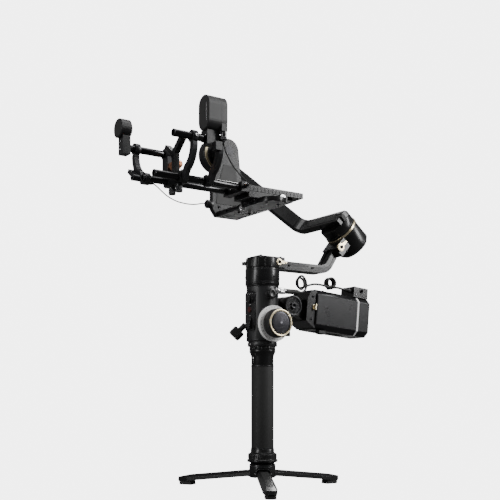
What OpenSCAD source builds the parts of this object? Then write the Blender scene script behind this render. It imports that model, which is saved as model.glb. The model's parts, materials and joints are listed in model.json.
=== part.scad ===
// Three-axis camera gimbal with a mini tripod, an extension grip, a battery box and a rod support kit.
// Heights are measured from the underside of the tripod hub. +X is the operator's left, -Y is forward.

/* [Tripod] */
// Radius of the tripod hub
hub_r = 23.5; // [23:0.5:25]
// Height of the tripod hub
hub_h = 25.5; // [25:0.5:26]
// Distance of each leg hinge from the column axis
leg_hinge_r = 17; // [16.5:0.25:17.5]
// Length of a leg from its hinge
leg_len = 158; // [140:1:170]
// Width of a leg
leg_w = 24; // [20:0.5:24]
// Slope of a spread leg, in degrees
leg_slope = 6.3; // [6:0.1:6.5]

/* [Handle] */
// Radius of the rubber grip sleeve
grip_r = 20.25; // [19:0.25:22]
// Radius of the column body
column_r = 28.7; // [28:0.1:29.5]
// Radius of the round white base of the control wheel
wheel_base_r = 31.8; // [28:0.2:34]
// Radius of the control wheel
wheel_r = 25; // [23:0.5:26]

/* [Motors] */
// Radius of the lower pan motor case
pan_case_r = 30.7; // [30:0.1:31.5]
// Height of the roll and tilt axes where they cross
pivot_z = 615; // [610:1:620]
// Slope of the roll axis, in degrees
roll_slope = 39.5; // [39:0.1:40]
// Distance of the roll motor ring from the crossing of the axes
roll_ring_y = 238.7; // [237:0.1:240]
// Radius of the roll motor
roll_r = 32; // [31:0.5:33]
// Radius of the tilt motor
tilt_r = 32.5; // [31:0.5:34]

/* [Camera support] */
// Half of the distance between the two long rods
rod_x = 20; // [19:0.5:21]
// Radius of a rod
rod_r = 6; // [5:0.25:6]
// Height of the long rods
rod_z = 510; // [509:0.5:511]
// Length of a long rod
rod_len = 182; // [175:1:190]

/* [Battery box] */
// Width of the battery box
box_w = 60; // [50:1:64]
// Droop of the battery box, in degrees
box_droop = 5; // [4:0.5:6]
// Radius of the battery rosette
rosette_r = 19; // [17:0.5:20]

/* [Leads] */
// Radius of the power lead
power_r = 2; // [1.6:0.1:2]
// Radius of the thin focus leads
focus_r = 1.1; // [0.8:0.1:1.2]

/* [Hidden] */
$fn = 64;

fit = 0.05;          // radial clearance of a running or sliding shaft
gap = 0.3;           // space between pieces that move past each other
floor_z = -20;       // the ground under the feet
leg_pin_r = 2;
leg_pin_z = 7;
leg_eye_r = 6.5;
leg_bottom = 4.5;
leg_angles = [90, 210, 330];
socket_r = 4.2;
collar_z = hub_h;
grip_z = 51;
grip_top = 201;
spigot_r = 18;
column_z = 235;
column_top = 342;
panel_y = -24.5;
wheel_z = 274;
pan_gap_z = 374.2;
pan_rotor_z = 374.5;
pan_top = 394.5;
arm_w = 28;
arm_h = 15;
rosette_y = 55;
rosette_z = 310;
shaft_r = 8;
roll_arm_t = 12;
roll_arm_w = 28;
tilt_x = -146;
leg_x = -118;
plug_x = 29.6;
plate_z = 505;
short_rod_x = 60;
short_rod_z = 568;
fork_y = -178;
box_front = 46;
box_rear = 174;
box_h = 74;
black = "#1b1b1d";
dark = "#2a2a2d";
rubber = "#151515";
gold = "#d8c28f";
pale = "#f2f2f0";
steel = "#b9bbbe";

// Power lead: from the angled plug on the column, round two loops, to the coil
power_path = [
    [33, 55, 333], [33, 58, 333], [33, 61, 333], [33, 67, 334.5], [32.6, 72, 339], [32, 75, 346.5], [31, 74, 356],
    [30, 68, 363.5], [29, 61.5, 362], [28.4, 58, 354], [28, 59, 346], [27.6, 64, 340.5], [27, 70, 341], [26, 74.5, 348],
    [25, 73.5, 356.5], [24, 67.5, 361], [23.3, 61, 358], [22.8, 59.5, 350], [22.4, 64, 344], [22.2, 72, 343.5],
    [22.3, 84, 348], [22.8, 100, 352], [23.6, 116, 351.8], [24.2, 131, 349.7]
];
// Power lead: from the coil to the plug in the port block
power_tail = [
    [12, 153, 350.3], [13.5, 163, 351], [14.6, 172, 349.6], [15, 180.2, 348.23], [15, 183.2, 347.97], [15, 186.2, 347.7]
];
// Focus lead: from the strain relief on the far bracket to the port on the bracket's upright
focus_path = [
    [-28, -211, 505], [-28, -208, 505], [-28, -205, 505], [-31, -197, 502.5], [-39, -183, 497.5], [-51, -165, 493.5],
    [-66, -140, 491.5], [-80, -114, 493], [-94, -90, 497], [-105, -72, 502], [-114, -59, 506.6], [-118, -52, 508],
    [-118, -49, 508], [-118, -46, 508]
];
// Servo lead: from the plug under the near servo, back to the socket on the rod holder
servo_path = [
    [75.5, -130, 566], [75.5, -130, 563], [75.5, -130, 560], [75, -126, 549], [72, -117, 538], [67, -105, 528],
    [62, -90, 519], [57, -75, 512.5], [51, -63, 510], [44, -57, 510], [41, -57, 510], [38, -57, 510]
];

function arc(c, r, a0, a1, n = 8) =
    [for (i = [0:n]) c + r * [cos(a0 + (a1 - a0) * i / n), sin(a0 + (a1 - a0) * i / n)]];
function rounded(w, h, r, n = 5) = concat(
    arc([w / 2 - r, h / 2 - r], r, 0, 90, n), arc([-w / 2 + r, h / 2 - r], r, 90, 180, n),
    arc([-w / 2 + r, -h / 2 + r], r, 180, 270, n), arc([w / 2 - r, -h / 2 + r], r, 270, 360, n));
function unit(a, b) = (b - a) / norm(b - a);
function edge(p, i, t) =
    let (n = len(p) - 1, a = unit(p[max(i - 1, 0)], p[max(i, 1)]), b = unit(p[min(i, n - 1)], p[min(i + 1, n)]),
         m = (a + b) / norm(a + b))
    p[i] + [-m[1], m[0]] * t / sqrt((1 + a * b) / 2);
function strip(p, t) =
    concat([for (i = [0:len(p) - 1]) edge(p, i, t / 2)], [for (i = [len(p) - 1:-1:0]) edge(p, i, -t / 2)]);

// A cord's points, joined by a smooth curve with extra points between them
function spline(p, k) =
    let (n = len(p) - 1)
    [for (i = [0:n - 1], j = [0:(i == n - 1 ? k : k - 1)])
        let (t = j / k, a = p[max(i - 1, 0)], b = p[i], c = p[i + 1], d = p[min(i + 2, n)])
        0.5 * (2 * b + (c - a) * t + (2 * a - 5 * b + 4 * c - d) * t * t + (3 * b - a - 3 * c + d) * t * t * t)];
function heading(p, i) = let (n = len(p) - 1) unit(p[max(i - 1, 0)], p[min(i + 1, n)]);
// Each ring's first direction is the last one's, turned as little as the bend needs
function frames(p, i = 0, u = [0.13, 0.21, 0.97]) =
    let (h = heading(p, i), v = u - (u * h) * h, w = v / norm(v))
    i == len(p) - 1 ? [w] : concat([w], frames(p, i + 1, w));
module tube(p, r, sides = 8) {
    u = frames(p);
    n = len(p);
    points = [for (i = [0:n - 1], s = [0:sides - 1])
        let (v = cross(heading(p, i), u[i])) p[i] + r * (cos(360 * s / sides) * u[i] + sin(360 * s / sides) * v)];
    sides_faces = [for (i = [0:n - 2], s = [0:sides - 1])
        let (a = i * sides + s, b = i * sides + (s + 1) % sides) [a, a + sides, b + sides, b]];
    ends = [[for (s = [0:sides - 1]) s], [for (s = [sides - 1:-1:0]) (n - 1) * sides + s]];
    polyhedron(points, concat(sides_faces, ends), convexity = 4);
}

module along_x(x0, x1, r) {
    translate([x0, 0, 0]) rotate([0, 90, 0]) cylinder(r = r, h = x1 - x0);
}
module along_y(y0, y1, r) {
    translate([0, y0, 0]) rotate([-90, 0, 0]) cylinder(r = r, h = y1 - y0);
}
// Profile in Y and Z, extruded from x0 to x1
module slab_x(x0, x1) {
    translate([x0, 0, 0]) rotate([90, 0, 90]) linear_extrude(x1 - x0) children();
}
// Profile in X and Z, extruded from y0 to y1
module slab_y(y0, y1) {
    translate([0, y1, 0]) rotate([90, 0, 0]) linear_extrude(y1 - y0) children();
}
// Box between two opposite corners
module block(a, b) {
    translate(a) cube(b - a);
}
// Frame of the roll motor: +Y runs rearward down the roll axis from the crossing of the axes
module roll_frame() {
    translate([0, 0, pivot_z]) rotate([-roll_slope, 0, 0]) children();
}
// Frame of the side knob: +Z runs out along its screw, away from the column
module knob_frame() {
    translate([-30, -37, 258]) rotate(56) rotate([0, -135, 0]) children();
}
// Frame of the battery box: its hinge at the rosette
module box_frame() {
    translate([0, rosette_y, rosette_z]) rotate([-box_droop, 0, 0]) children();
}

// ---- Tripod ----

module leg_slot() {
    slot_w = leg_w + 2 * gap;
    top_r = 6;
    translate([9.9, 0, 0]) slab_x(0, hub_r) polygon(concat(
        [[-slot_w / 2, -1], [slot_w / 2, -1]], arc([slot_w / 2 - top_r, 15 - top_r], top_r, 0, 90, 6),
        arc([-slot_w / 2 + top_r, 15 - top_r], top_r, 90, 180, 6)));
}
module tripod_hub() color(black) {
    difference() {
        rotate_extrude() polygon([[0, 0], [hub_r - 1, 0], [hub_r, 1], [hub_r, hub_h - 2.5],
            [hub_r - 2.5, hub_h], [socket_r, hub_h], [socket_r, 37], [0, 37]]);
        translate([0, 0, -1]) cylinder(r = socket_r, h = 13);
        for (a = leg_angles) rotate(a) {
            leg_slot();
            translate([leg_hinge_r, -16, leg_pin_z]) rotate([-90, 0, 0]) cylinder(r = leg_pin_r + 0.02, h = 32);
        }
    }
}
module leg_pins() color(steel) {
    for (a = leg_angles) rotate(a) translate([leg_hinge_r, -15.5, leg_pin_z])
        rotate([-90, 0, 0]) cylinder(r = leg_pin_r, h = 31);
}
module leg_place(i) {
    rotate(leg_angles[i]) translate([leg_hinge_r, 0, leg_pin_z]) rotate([0, leg_slope, 0]) children();
}
module leg(i) color(black) leg_place(i) {
    half = leg_w / 2;
    difference() {
        intersection() {
            slab_y(-half, half) polygon(concat(arc([0, 0], leg_eye_r, 90, 250, 10),
                [[8, -leg_bottom], [leg_len - 4, -leg_bottom], [leg_len, -leg_bottom + 3], [leg_len - 3, leg_eye_r - 2],
                 [leg_len - 22, leg_eye_r]]));
            translate([0, 0, -10]) linear_extrude(20) polygon([[-7, -half + 5], [-2, -half], [leg_len - 24, -half],
                [leg_len - 6, -half + 3], [leg_len, -half + 8], [leg_len, half - 8], [leg_len - 6, half - 3],
                [leg_len - 24, half], [-2, half], [-7, half - 5]]);
            slab_x(-10, leg_len + 1) polygon([[-half, -10], [half, -10], [half, leg_eye_r - 4.5], [half - 5, leg_eye_r],
                [half - 5, 10], [-half + 5, 10], [-half + 5, leg_eye_r], [-half, leg_eye_r - 4.5]]);
        }
        translate([0, -half - 1, 0]) rotate([-90, 0, 0]) cylinder(r = leg_pin_r + fit, h = leg_w + 2);
        block([34, -half + 6, -10], [leg_len - 40, half - 6, -leg_bottom + 2]);
    }
}
module foot(i) color(rubber) {
    intersection() {
        leg_place(i) translate([0, 0, -20]) linear_extrude(20 - leg_bottom)
            polygon([[leg_len - 30, -9], [leg_len - 8, -9], [leg_len - 3, -5], [leg_len - 3, 5], [leg_len - 8, 9],
                [leg_len - 30, 9]]);
        rotate(leg_angles[i]) block([leg_hinge_r, -20, floor_z], [leg_hinge_r + leg_len + 10, 20, 20]);
    }
}
module leg_1() leg(0);
module leg_2() leg(1);
module leg_3() leg(2);
module foot_1() foot(0);
module foot_2() foot(1);
module foot_3() foot(2);

// ---- Handle ----

module lower_collar() color(black) {
    rotate_extrude() polygon([[socket_r + fit, collar_z], [20, collar_z], [24, collar_z + 1.5], [27.5, collar_z + 3],
        [27.5, collar_z + 6], [25.5, collar_z + 7.5], [25.5, collar_z + 17], [21.2, collar_z + 19.5], [21.2, grip_z],
        [6, grip_z], [6, collar_z + 12], [socket_r + fit, collar_z + 12]]);
}
module grip_core() color(dark) {
    rotate_extrude() polygon([[14.5, grip_z], [17, grip_z], [17, grip_top], [14.5, grip_top]]);
}
module grip_sleeve() color(rubber) {
    rotate_extrude() polygon([[17 + fit, grip_z], [grip_r - 1, grip_z], [grip_r, grip_z + 1], [grip_r, grip_top - 1],
        [grip_r - 1, grip_top], [17 + fit, grip_top]]);
}
module upper_collar() color(black) {
    rotate_extrude() polygon([[0, grip_top], [20, grip_top], [20, 216], [21.5, 221], [23.5, 225], [23.5, 228],
        [spigot_r, 228], [spigot_r, 243], [0, 243]]);
    translate([0, 0, 221]) rotate(-70) translate([20.6, 0, -1]) rotate([0, 90, 0]) cylinder(r = 1.5, h = 1.5);
}
module quick_ring() color(black) {
    difference() {
        rotate_extrude() polygon([[spigot_r + fit, 228 + gap], [22.8, 228 + gap], [23.5, 229], [23.5, 234],
            [23, column_z - gap], [spigot_r + fit, column_z - gap]]);
        for (a = [0:20:340]) rotate(a) translate([24.1, 0, 227]) cylinder(r = 1.2, h = 9, $fn = 16);
    }
    rotate(-70) block([23, -3, 229.5], [26, 3, 233.5]);
}
module panel_outline(grow = 0) {
    polygon(rounded(29 + 2 * grow, 70 + 2 * grow, 6 + grow));
}
module column_shell() color(black) {
    difference() {
        union() {
            rotate_extrude() polygon([[0, column_z], [26.5, column_z], [26.5, 241.5], [25.8, 242.2], [25.8, 243.2],
                [column_r, 244.5], [column_r, column_top - 1], [column_r - 1, column_top], [0, column_top]]);
            translate([0, -4, 327]) along_x(20, plug_x, 8);
            translate([0, 0, wheel_z]) along_x(20, 31, 20);
            knob_frame() translate([0, 0, -24]) cylinder(r = 5, h = 14);
            knob_frame() translate([0, 0, -12]) cylinder(r = 3, h = 14);
            rotate(50) translate([0, 0, 257]) along_x(20, 50, 4);
            block([-20, 20, 297], [-6, rosette_y - 6, 323]);
            translate([0, rosette_y, rosette_z]) along_x(-20, 0, rosette_r);
        }
        translate([0, 0, column_z - 1]) cylinder(r = spigot_r + fit, h = 9);
        translate([0, 0, 297]) slab_y(-32, panel_y) panel_outline(0.2);
        translate([0, 0, 318]) along_y(panel_y - 1, panel_y + 6, 3.3);
        translate([0, 0, 300]) along_y(panel_y - 1, panel_y + 6, 5.3);
        translate([0, 0, 276]) slab_y(panel_y - 1, panel_y + 7) square([12.8, 20.8], center = true);
        translate([0, 0, wheel_z]) along_x(22, 32, 5);
        translate([0, rosette_y, rosette_z]) along_x(-14, 1, 4 + fit);
    }
}
module button_panel() color(dark) {
    difference() {
        translate([0, 0, 297]) slab_y(panel_y - 2.5, panel_y) panel_outline();
        translate([0, 0, 318]) along_y(-30, -20, 3.3);
        translate([0, 0, 300]) along_y(-30, -20, 5.3);
        translate([0, 0, 276]) slab_y(-30, -20) square([12.8, 20.8], center = true);
    }
}
module joystick() color(rubber) translate([0, 0, 318]) {
    along_y(-28.6, -21.5, 3);
    along_y(-32, -28.6, 6);
}
module record_button() color("#b33a2e") translate([0, 0, 300]) {
    along_y(-28.6, -21.5, 5);
}
module trigger() color(dark) translate([0, 0, 276]) slab_x(-6.1, 6.1) {
    polygon([[-21.5, -10], [-29, -10], [-34, -7], [-31, 2], [-28, 10], [-21.5, 10]]);
}
module wheel_base() color(pale) translate([0, 0, wheel_z]) {
    difference() {
        along_x(31, 38, wheel_base_r);
        along_x(30, 39, 5);
    }
}
module control_wheel() color(rubber) translate([0, 0, wheel_z]) {
    difference() {
        union() {
            along_x(24, 39, 5 - fit);
            rotate([0, 90, 0]) rotate_extrude() polygon([[0, 38 + gap], [wheel_r - 1, 38 + gap], [wheel_r, 39.5],
                [wheel_r, 54.5], [wheel_r - 1.2, 56], [0, 56]]);
        }
        along_x(54, 60, 20.4);
    }
}
module wheel_ring() color(gold) translate([0, 0, wheel_z]) {
    difference() {
        along_x(56, 57.2, wheel_r - 1.2);
        along_x(55, 58, 20.6);
    }
}
module wheel_cap() color("#3b3b3f") translate([0, 0, wheel_z]) rotate([0, 90, 0]) {
    rotate_extrude() polygon([[0, 54], [20.3, 54], [20.3, 56.6], [18.5, 57.6], [0, 58.4]]);
}
module side_knob() color(black) knob_frame() {
    difference() {
        translate([0, 0, -9.7]) cylinder(r = 11.5, h = 17);
        translate([0, 0, -11]) cylinder(r = 3 + fit, h = 14);
        for (a = [0:20:340]) rotate(a) translate([12, 0, -11]) cylinder(r = 1.3, h = 20, $fn = 16);
    }
}
// Angled plug of the power lead, in the port on the column
module column_plug() color(dark) {
    translate([0, -4, 327]) along_x(plug_x, plug_x + 7.4, 7.5);
    translate([plug_x + 3.4, 0, 333]) along_y(-4, 28, 3.4);
    translate([plug_x + 3.4, 0, 333]) along_y(28, 55, 4);
}

// ---- Pan motor and yaw arm ----

module pan_case() color(black) {
    difference() {
        rotate_extrude() polygon([[0, column_top], [29.5, column_top], [29.5, column_top + 2],
            [pan_case_r, column_top + 3], [pan_case_r, pan_gap_z - 0.8], [pan_case_r - 0.8, pan_gap_z], [0, pan_gap_z]]);
        translate([0, 0, 350]) cylinder(r = shaft_r + fit, h = 30);
    }
}
module pan_rotor() color(black) {
    difference() {
        union() {
            rotate_extrude() polygon([[0, pan_rotor_z], [29.4, pan_rotor_z], [30, 375.2], [30, 391.5], [28, 393.6],
                [20, pan_top], [0, pan_top]]);
            translate([0, 0, 351]) cylinder(r = shaft_r, h = 24);
            slab_y(-20, 35) translate([0, 385.5]) polygon(rounded(41, 20.6, 2));
        }
        block([-arm_w / 2 - 0.15, -5, 377.7], [arm_w / 2 + 0.15, 40, 390.8]);
        block([20.5, 12, 379.5], [32, 45, 397]);
        rotate(-124) block([21, -5.2, 380.7], [40, 5.2, 387.3]);
        for (a = [-100:25:10]) rotate(a) translate([30.4, 0, 376]) cylinder(r = 1.2, h = 14, $fn = 16);
    }
    translate([0, 20, 386]) along_x(18, 25, 2.5);
}
module pan_lock() color(rubber) rotate(-124) translate([0, 0, 381]) {
    linear_extrude(6) polygon([[24.5, -4.9], [31, -4.9], [37, -1], [37, 1], [31, 4.9], [24.5, 4.9]]);
}
// Clamp lever: a round hub on a stud along X, with its tail toward +Y
module lever(x0, x1, hub, tail, turn) {
    difference() {
        union() {
            along_x(x0, x1, hub);
            rotate([turn, 0, 0]) slab_x(x0 + 0.6, x1 - 0.6)
                polygon([[0, -hub * 0.55], [tail - 2, -2.2], [tail, 0], [tail - 2, 2.2], [0, hub * 0.55]]);
        }
        along_x(x0 - 1, x1 + 1, 2.5 + fit);
    }
}
module pan_lever() color(gold) translate([0, 20, 386]) lever(20.8, 24.8, 6, 17, 0);
yaw_path = concat([[36, 383]], arc([124.6, 407], 24, -90, -32, 7), [[182, 453]]);
module yaw_arm() color(black) {
    difference() {
        union() {
            block([-arm_w / 2, 0, 378], [arm_w / 2, 36, 390.5]);
            slab_x(-arm_w / 2, arm_w / 2) polygon(strip(yaw_path, arm_h));
            roll_frame() block([-16, roll_ring_y, -53], [25, roll_ring_y + 21, -24]);
            translate([0, 160, 425.5]) along_x(20, 29.4, 2.5);
        }
        roll_frame() along_y(200, 320, roll_r + 0.02);
        roll_frame() block([-40, 150, -60], [40, roll_ring_y, 60]);
        for (s = [-1, 1]) slab_x(s * (arm_w / 2 + 0.4) - 1.2, s * (arm_w / 2 + 0.4) + 1.2)
            polygon(strip(concat([[46, 383]], arc([124.6, 407], 24, -90, -32, 7), [[156, 411.5]]), 4));
        translate([-5, 0, 0]) slab_x(0, 10)
            polygon(strip(concat(arc([124.6, 407], 16.3, -80, -32, 7), [[155, 423]]), 3));
    }
}
module roll_case() color(black) roll_frame() {
    difference() {
        rotate([-90, 0, 0]) rotate_extrude() polygon([[0, roll_ring_y], [roll_r, roll_ring_y],
            [roll_r, roll_ring_y + 40], [roll_r - 5, roll_ring_y + 46], [0, roll_ring_y + 46]]);
        along_y(roll_ring_y - 1, roll_ring_y + 28, shaft_r + fit);
        for (a = [-40:20:40]) rotate([0, a, 0]) block([-1.6, roll_ring_y + 14, roll_r - 2], [1.6, roll_ring_y + 34, roll_r + 2]);
    }
}
module roll_ring() color(gold) roll_frame() {
    difference() {
        along_y(roll_ring_y - 2.2, roll_ring_y, roll_r + 0.8);
        along_y(roll_ring_y - 3, roll_ring_y + 1, roll_r - 4);
    }
}
module roll_lever() color(gold) translate([25.3, 160, 425.5]) lever(0, 4, 7.5, 18, 43);

// ---- Roll motor rotor and roll arm ----

roll_path = concat([[30, 211], [-72, 211]], arc([-75, 184], 27, 90, 160, 7), [[-158, 30]]);
module roll_rotor() color(black) roll_frame() {
    along_y(217, roll_ring_y - 2.5, roll_r);
    along_y(220, roll_ring_y + 27, shaft_r);
}
module roll_arm() color(black) roll_frame() {
    difference() {
        translate([0, 0, -roll_arm_w / 2]) linear_extrude(roll_arm_w) polygon(strip(roll_path, roll_arm_t));
        rotate([roll_slope, 0, 0]) along_x(-190, -120, tilt_r + 0.02);
        translate([0, 0, -4]) block([21, 204, 0], [31, 219, 8]);
    }
}
module roll_lock() color(rubber) roll_frame() {
    block([24.4, 205, -3.7], [34, 217, 3.7]);
}
module tilt_case() color(dark) translate([0, 0, pivot_z]) {
    difference() {
        rotate([0, 90, 0]) rotate_extrude() polygon([[0, -176], [tilt_r - 5, -176], [tilt_r, -171], [tilt_r, tilt_x],
            [0, tilt_x]]);
        along_x(-168, -140, shaft_r + fit);
    }
}
module tilt_ring() color(gold) translate([0, 0, pivot_z]) {
    difference() {
        along_x(tilt_x, tilt_x + 2.2, tilt_r + 0.8);
        along_x(tilt_x - 1, tilt_x + 3, tilt_r - 4);
    }
}

// ---- Tilt bracket and camera plate ----

module l_bracket() color(black) {
    translate([0, 0, pivot_z]) along_x(tilt_x + 2.5, leg_x - 6, 20);
    translate([0, 0, pivot_z]) along_x(-166, -140, shaft_r);
    slab_x(leg_x - 6, leg_x + 6) polygon(concat(arc([0, pivot_z], 22, 5, 175, 12),
        [[-30, 570], [-36, 540], [-36, 499], [-26, 486], [26, 486], [34, 490], [38, 520], [28, 560]]));
    translate([leg_x, 0, 508]) along_y(-46, -35, 8);
}
module bracket_base() color(black) {
    difference() {
        union() {
            block([leg_x + 6, -25, 486], [30, 25, 495]);
            translate([30, 0, 486]) cylinder(r = 25, h = 9);
            block([-24, -45, 495], [24, 38, plate_z]);
        }
        translate([0, 0, 480]) cylinder(r = 3, h = 12);
        block([-10.15, -50, 499], [10.15, 50, 506]);
        block([-84, -26, 488.5], [-14, -22, 492.5]);
    }
}
module plate_screws() color(pale) {
    translate([0, 24, 501]) along_x(24, 26, 2.5);
    translate([0, 24, 501]) along_x(26, 30, 5.5);
    translate([-14, -35, 478]) cylinder(r = 4.5, h = 7);
    translate([-14, -35, 485]) cylinder(r = 2.5, h = 10);
    for (x = [-6, 12]) translate([x, -25.6, 489]) rotate([-90, 0, 0]) cylinder(r = 1.2, h = 0.6);
}
module camera_plate() color(black) {
    difference() {
        union() {
            block([-25, -50, plate_z + gap], [25, 73, 515]);
            block([-10, -48, 499.3], [10, 60, plate_z + 1]);
            block([-30, -64, 501], [30, -50, 518]);
        }
        for (s = [-1, 1]) translate([s * rod_x, 0, rod_z]) along_y(-70, -48, rod_r + 0.02);
        for (y = [-20, 5, 30]) translate([0, y, 490]) cylinder(r = 3.3, h = 30);
        for (y = [-44:8:68]) for (s = [-1, 1]) translate([s * 25.5, y, 509]) rotate(45) cube([1.6, 1.6, 8], center = true);
    }
}
module rods() color(dark) {
    for (s = [-1, 1]) translate([s * rod_x, 0, rod_z]) difference() {
        along_y(-48 - rod_len, -48, rod_r);
        along_y(-49 - rod_len, -50, rod_r - 1.5);
    }
    translate([short_rod_x, 0, short_rod_z]) difference() {
        along_y(-216, -122, rod_r);
        along_y(-217, -124, rod_r - 1.5);
    }
    translate([-short_rod_x, 0, short_rod_z]) difference() {
        along_y(-234, -148, rod_r);
        along_y(-235, -150, rod_r - 1.5);
    }
}
module rod_clamp() color(black) {
    difference() {
        slab_y(fork_y - 7, fork_y + 7) translate([0, rod_z]) polygon(rounded(62, 21, 8));
        for (s = [-1, 1]) translate([s * rod_x, 0, rod_z]) along_y(fork_y - 10, fork_y + 10, rod_r + 0.02);
        block([-9, fork_y - 9, rod_z + 4], [9, fork_y + 9, rod_z + 12]);
        for (s = [-1, 1]) block([s * rod_x - 0.6, fork_y - 9, rod_z - 12], [s * rod_x + 0.6, fork_y + 9, rod_z]);
    }
    for (x = [-12, 12]) translate([x, fork_y, 487]) cylinder(r = 5.5, h = rod_z - 10 - 487);
    lens_fork();
}
module lens_fork() slab_y(fork_y - 5, fork_y + 5) {
    polygon(strip([[0, rod_z + 2], [0, 556], [24, 575]], 9));
    polygon(strip([[-4, 549], [-6, 556], [-27, 571]], 7));
}
// Curved plate from the rods out to a short rod, drawn for the near side
module curved_plate(y0, y1) {
    slab_y(y0, y1) polygon(strip(concat([[31, 506]], arc([22, 556], 40, -62, 4, 8)), 11));
    slab_y(y0, y1) translate([short_rod_x, short_rod_z]) circle(10);
}
module rod_ear(y0, y1) {
    slab_y(y0, y1) translate([rod_x + 3, rod_z]) circle(10);
}
module near_brackets() color("#3a3a3e") {
    difference() {
        union() {
            curved_plate(fork_y - 5, fork_y + 4);
            curved_plate(-134, -125);
            rod_ear(-134, -125);
        }
        slab_y(fork_y - 7, fork_y + 7) translate([0, rod_z]) polygon(rounded(62, 21, 8));
        translate([rod_x, 0, rod_z]) along_y(-140, -120, rod_r + 0.02);
        translate([short_rod_x, 0, short_rod_z]) along_y(-200, -120, rod_r + 0.02);
    }
}
module servo(x, y0, y1, z0, z1, w) {
    slab_y(y0, y1) translate([x, (z0 + z1) / 2]) polygon(rounded(w, z1 - z0, min(w, z1 - z0) / 2 - 0.5, 8));
}
module near_servo() color(black) {
    difference() {
        union() {
            servo(63, -160, -125, 580, 638, 34);
            difference() {
                block([50, -158, 558], [70, -134, 582]);
                block([40, -170, 560], [58, -120, 564]);
            }
            block([66, -146, 548], [78, -134, 562]);
            block([70.3, -135.5, 580], [79.4, -125, 600]);
        }
        translate([short_rod_x, 0, short_rod_z]) along_y(-170, -120, rod_r + 0.02);
        translate([63, 0, 612]) along_y(-162, -140, 14.5);
        translate([63, 0, 612]) along_y(-162, -130, 3 + fit);
        block([40, -156, 600], [52, -142, 624]);
    }
}
module near_gear() color(rubber) translate([63, 0, 612]) {
    difference() {
        along_y(-159, -140.4, 14);
        for (a = [0:20:340]) rotate([0, a, 0]) translate([0, 0, 14.4]) along_y(-160, -139, 1);
    }
    along_y(-141, -131, 3);
}
module far_bracket() color("#3a3a3e") {
    difference() {
        union() {
            mirror([1, 0, 0]) {
                curved_plate(-226, -217);
                rod_ear(-226, -217);
                slab_y(-168, -152) translate([short_rod_x, short_rod_z]) circle(10);
            }
            block([-66, -168, 536], [-46, -152, 562]);
            slab_y(-236, -226.4) polygon(strip([[-63, 530], [-40, 514]], 7));
            translate([-40, 0, 514]) along_y(-238, -225.9, 5.5);
            translate([-28, 0, 505]) along_y(-217.1, -211, 2.4);
        }
        for (y = [-237, -169]) translate([-short_rod_x, 0, short_rod_z]) along_y(y, y + 21, rod_r + 0.02);
        translate([-rod_x, 0, rod_z]) along_y(-240, -210, rod_r + 0.02);
        translate([0, -160, 544]) along_x(-60, -44, 2.5 + fit);
    }
}
module copper_knob() color("#c9794f") translate([0, -160, 544]) {
    along_x(-58, -44, 2.5);
    rotate([0, 90, 0]) rotate_extrude() polygon([[0, -45.7], [6, -45.7], [8, -42], [8, -24], [6, -18], [0, -16]]);
}
module far_servo() color(black) {
    difference() {
        union() {
            servo(-63, -254, -236, 584, 616, 34);
            block([-70, -250, 556], [-52, -236, 590]);
        }
        translate([-short_rod_x, 0, short_rod_z]) along_y(-240, -230, rod_r + 0.02);
    }
}

// ---- Battery box ----

function chamfered(w, h, c) = [[-w / 2 + c, -h / 2], [w / 2 - c, -h / 2], [w / 2, -h / 2 + c], [w / 2, h / 2 - c],
    [w / 2 - c, h / 2], [-w / 2 + c, h / 2], [-w / 2, h / 2 - c], [-w / 2, -h / 2 + c]];
module battery_mount() color(black) {
    translate([0, rosette_y, rosette_z]) {
        difference() {
            along_x(gap, 20, rosette_r);
            along_x(17.5, 21, rosette_r - 4);
        }
        along_x(-13, 4, 4);
    }
    box_frame() {
        slab_x(4, 16) polygon([[10, -15], [26, -22], [30, -22], [30, 16], [26, 16], [12, 13]]);
        slab_x(-27, 27) polygon([[26, -24], [box_front, -35], [box_front, 34], [34, 34], [26, 16]]);
    }
}
module band_zone(grow) {
    slab_y(box_rear - 30, box_rear - 26) difference() {
        polygon(chamfered(box_w + grow, box_h + grow, 9));
        polygon(chamfered(box_w - 3, box_h - 3, 8));
    }
}
module battery_box() color(black) box_frame() {
    difference() {
        slab_y(box_front, box_rear) polygon(chamfered(box_w, box_h, 9));
        band_zone(4);
    }
}
module light_band() color(pale) box_frame() band_zone(0);
module port_block() color(dark) box_frame() {
    difference() {
        block([-14, 137, box_h / 2], [24, 172, 57]);
        translate([0, 156, 50]) along_x(18, 26, 3);
    }
}
module battery_latch() color(rubber) box_frame() {
    block([14, 58, -box_h / 2 - 6], [26, 74, -box_h / 2 - gap]);
}

// ---- Leads ----

module power_lead() color(rubber) {
    tube(spline(power_path, 2), power_r);
    tube(power_tail, power_r);
}
module lead_coil() color(rubber) translate([18, 142, 358]) {
    rotate([0, 90, 0]) rotate_extrude() translate([8.5, 0]) polygon(rounded(4, 16.6, 1.9));
}
module lead_plugs() color(dark) box_frame() translate([15, 0, 49]) along_y(127.5, 137, 4);
module focus_lead() color(rubber) tube(spline(focus_path, 1), focus_r);
module servo_lead() color(rubber) tube(spline(servo_path, 1), focus_r);
module servo_plugs() color(dark) {
    translate([75.5, -130, 566]) cylinder(r = 5, h = 14);
    translate([0, -57, 510]) along_x(30, 38, 3.5);
}

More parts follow.
